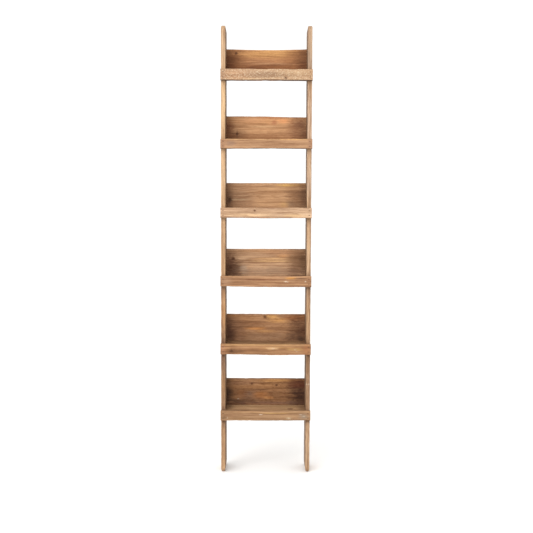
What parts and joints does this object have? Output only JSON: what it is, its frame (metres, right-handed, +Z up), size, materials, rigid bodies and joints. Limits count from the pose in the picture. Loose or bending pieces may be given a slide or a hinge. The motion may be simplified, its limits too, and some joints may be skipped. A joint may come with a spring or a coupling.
{
  "type": "ladder shelf",
  "caption": "Tall narrow rustic ladder shelf: two board rails on edge carry shallow trays, each a floor board, a taller back board and a low front lip.",
  "frame": {"origin": "on the ground under the middle of the shelf's bounding box", "axes": "+Z up along the rails, +X to the right across the trays, +Y back towards the wall, so the lips face -Y"},
  "size_m": [0.343, 0.1206, 1.6954],
  "materials": {
    "rail_wood": "matte",
    "floor_wood": "matte",
    "lip_wood": "matte",
    "back_wood": "matte",
    "nail_steel": "satin"
  },
  "bodies": {
    "root": {"rail_left": "rail_wood", "rail_right": "rail_wood", "tray_1_floor": "floor_wood", "tray_1_back": "back_wood", "tray_1_lip": "lip_wood", "tray_1_lip_nail_left": "nail_steel", "tray_1_lip_nail_right": "nail_steel", "tray_1_floor_nail_left": "nail_steel", "tray_1_floor_nail_right": "nail_steel", "tray_1_back_nail_left": "nail_steel", "tray_1_back_nail_right": "nail_steel", "tray_2_floor": "floor_wood", "tray_2_back": "back_wood", "tray_2_lip": "lip_wood", "tray_2_lip_nail_left": "nail_steel", "tray_2_lip_nail_right": "nail_steel", "tray_2_floor_nail_left": "nail_steel", "tray_2_floor_nail_right": "nail_steel", "tray_2_back_nail_left": "nail_steel", "tray_2_back_nail_right": "nail_steel", "tray_3_floor": "floor_wood", "tray_3_back": "back_wood", "tray_3_lip": "lip_wood", "tray_3_lip_nail_left": "nail_steel", "tray_3_lip_nail_right": "nail_steel", "tray_3_floor_nail_left": "nail_steel", "tray_3_floor_nail_right": "nail_steel", "tray_3_back_nail_left": "nail_steel", "tray_3_back_nail_right": "nail_steel", "tray_4_floor": "floor_wood", "tray_4_back": "back_wood", "tray_4_lip": "lip_wood", "tray_4_lip_nail_left": "nail_steel", "tray_4_lip_nail_right": "nail_steel", "tray_4_floor_nail_left": "nail_steel", "tray_4_floor_nail_right": "nail_steel", "tray_4_back_nail_left": "nail_steel", "tray_4_back_nail_right": "nail_steel", "tray_5_floor": "floor_wood", "tray_5_back": "back_wood", "tray_5_lip": "lip_wood", "tray_5_lip_nail_left": "nail_steel", "tray_5_lip_nail_right": "nail_steel", "tray_5_floor_nail_left": "nail_steel", "tray_5_floor_nail_right": "nail_steel", "tray_5_back_nail_left": "nail_steel", "tray_5_back_nail_right": "nail_steel", "tray_6_floor": "floor_wood", "tray_6_back": "back_wood", "tray_6_lip": "lip_wood", "tray_6_lip_nail_left": "nail_steel", "tray_6_lip_nail_right": "nail_steel", "tray_6_floor_nail_left": "nail_steel", "tray_6_floor_nail_right": "nail_steel", "tray_6_back_nail_left": "nail_steel", "tray_6_back_nail_right": "nail_steel"}
  },
  "joints": []
}
